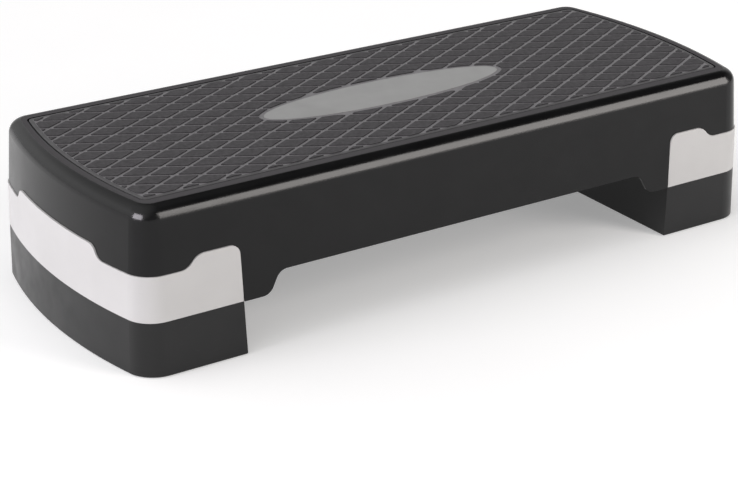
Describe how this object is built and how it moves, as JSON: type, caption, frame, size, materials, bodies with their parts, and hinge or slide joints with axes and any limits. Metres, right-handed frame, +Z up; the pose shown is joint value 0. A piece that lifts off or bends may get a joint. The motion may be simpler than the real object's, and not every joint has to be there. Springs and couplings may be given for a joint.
{
  "type": "aerobic step platform",
  "caption": "Low rectangular exercise step with a diamond-textured tread, an oval badge plate, pale end risers and removable feet that raise it to a second height.",
  "frame": {"origin": "middle of the footprint, on the floor", "axes": "+X along the length of the tread, +Y across it towards the back, +Z up"},
  "size_m": [0.6924, 0.2824, 0.1507],
  "materials": {
    "deck_black": "satin black moulding",
    "tread_rubber": "fine-grained charcoal",
    "badge_grey": "plain pale grey",
    "riser_grey": "satin pale grey moulding",
    "foot_black": "satin black moulding",
    "pad_rubber": "matte black",
    "screw_steel": "zinc plated"
  },
  "bodies": {
    "left_foot": {"left_foot": "foot_black", "left_foot_pad_inner_back": "pad_rubber", "left_foot_pad_inner_front": "pad_rubber", "left_foot_pad_outer_back": "pad_rubber", "left_foot_pad_outer_front": "pad_rubber"},
    "platform": {"deck_shell": "deck_black", "tread_mat": "tread_rubber", "badge_plate": "badge_grey", "left_riser": "riser_grey", "right_riser": "riser_grey", "left_riser_screws": "screw_steel", "right_riser_screws": "screw_steel", "left_riser_pad_inner_back": "pad_rubber", "left_riser_pad_inner_front": "pad_rubber", "left_riser_pad_outer_back": "pad_rubber", "left_riser_pad_outer_front": "pad_rubber", "right_riser_pad_inner_back": "pad_rubber", "right_riser_pad_inner_front": "pad_rubber", "right_riser_pad_outer_back": "pad_rubber", "right_riser_pad_outer_front": "pad_rubber"},
    "right_foot": {"right_foot": "foot_black", "right_foot_pad_inner_back": "pad_rubber", "right_foot_pad_inner_front": "pad_rubber", "right_foot_pad_outer_back": "pad_rubber", "right_foot_pad_outer_front": "pad_rubber"}
  },
  "joints": [
    {"name": "platform_lift", "type": "slide", "parent": "left_foot", "child": "platform", "axis": [0, 0, 1], "range_m": [0, 0.06]},
    {"name": "right_foot_release", "type": "slide", "parent": "platform", "child": "right_foot", "axis": [0, 0, -1], "range_m": [0, 0.06]}
  ],
  "couplings": [
    {"joint": "right_foot_release", "follows": "platform_lift", "ratio": 1}
  ]
}
